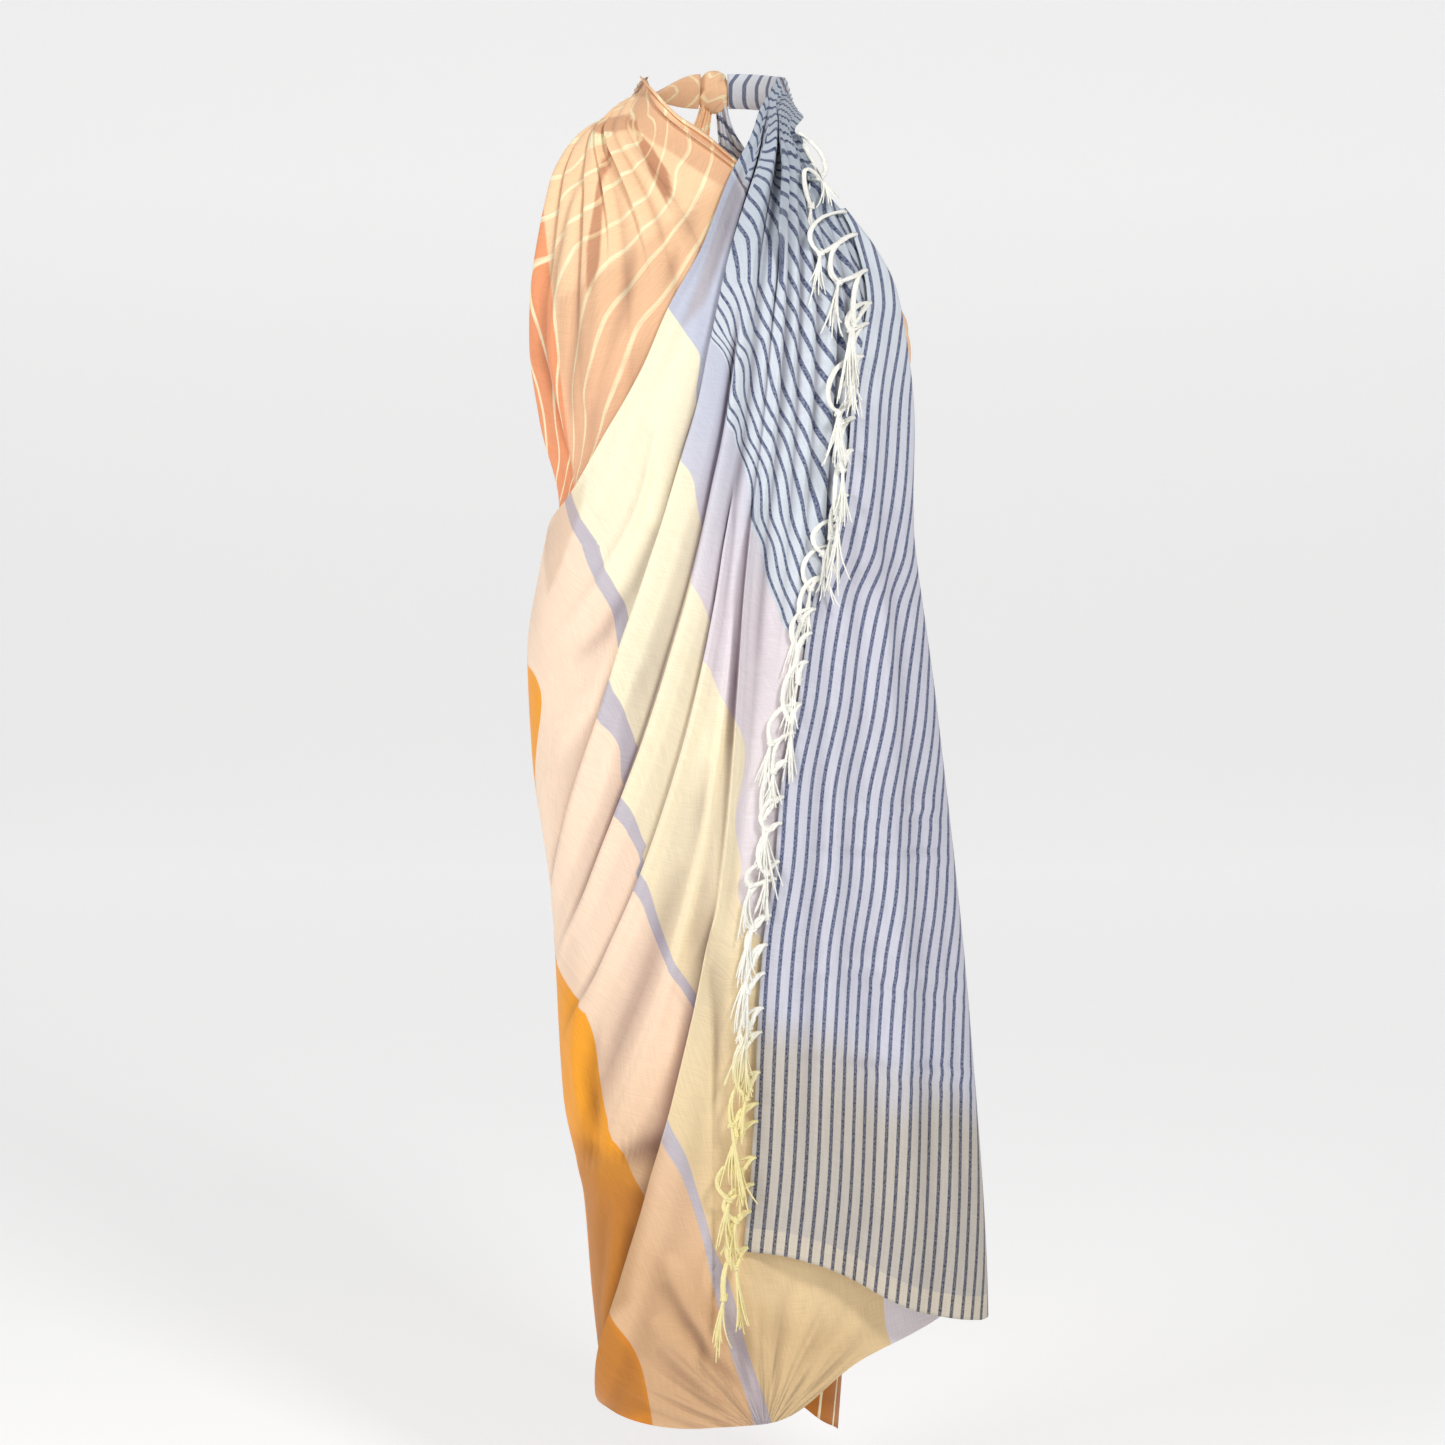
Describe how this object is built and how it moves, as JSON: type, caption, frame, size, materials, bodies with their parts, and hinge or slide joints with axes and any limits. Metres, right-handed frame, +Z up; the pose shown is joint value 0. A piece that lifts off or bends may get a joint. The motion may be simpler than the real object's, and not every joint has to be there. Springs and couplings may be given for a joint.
{
  "type": "longyi sarong",
  "caption": "Long wrapped cloth worn as a halter dress, ends tied at the nape, fringed striped end folded back over the front.",
  "frame": {"origin": "middle of the neck opening, level with the sides of the neck, where the wearer's neck holds the cloth up", "axes": "+Z up, the front of the garment faces -Y, +X to the right as seen from the front"},
  "size_m": [0.4592, 0.303, 1.3765],
  "materials": {
    "peach_cotton": "thin hand-woven cotton, peach with pale yellow weft lines, matt",
    "blocked_cotton": "thin hand-woven cotton in blocks of saffron, pale peach, cream and lavender, soft sheen",
    "saffron_cotton": "thin hand-woven cotton, saffron orange, matt",
    "striped_cotton": "thin hand-woven cotton, light blue with narrow navy stripes, matt",
    "fringe_yarn": "loose knotted cotton yarn, white to pale yellow"
  },
  "bodies": {
    "root": {"inner_front": "peach_cotton", "outer_front": "blocked_cotton", "back_wrap": "saffron_cotton", "striped_end": "striped_cotton", "right_neck_gather": "striped_cotton", "left_neck_gather": "peach_cotton", "nape_knot": "peach_cotton", "right_knot_tail": "striped_cotton", "left_knot_tail": "peach_cotton", "end_fringe": "fringe_yarn", "shoulder_fringe": "fringe_yarn"}
  },
  "joints": []
}
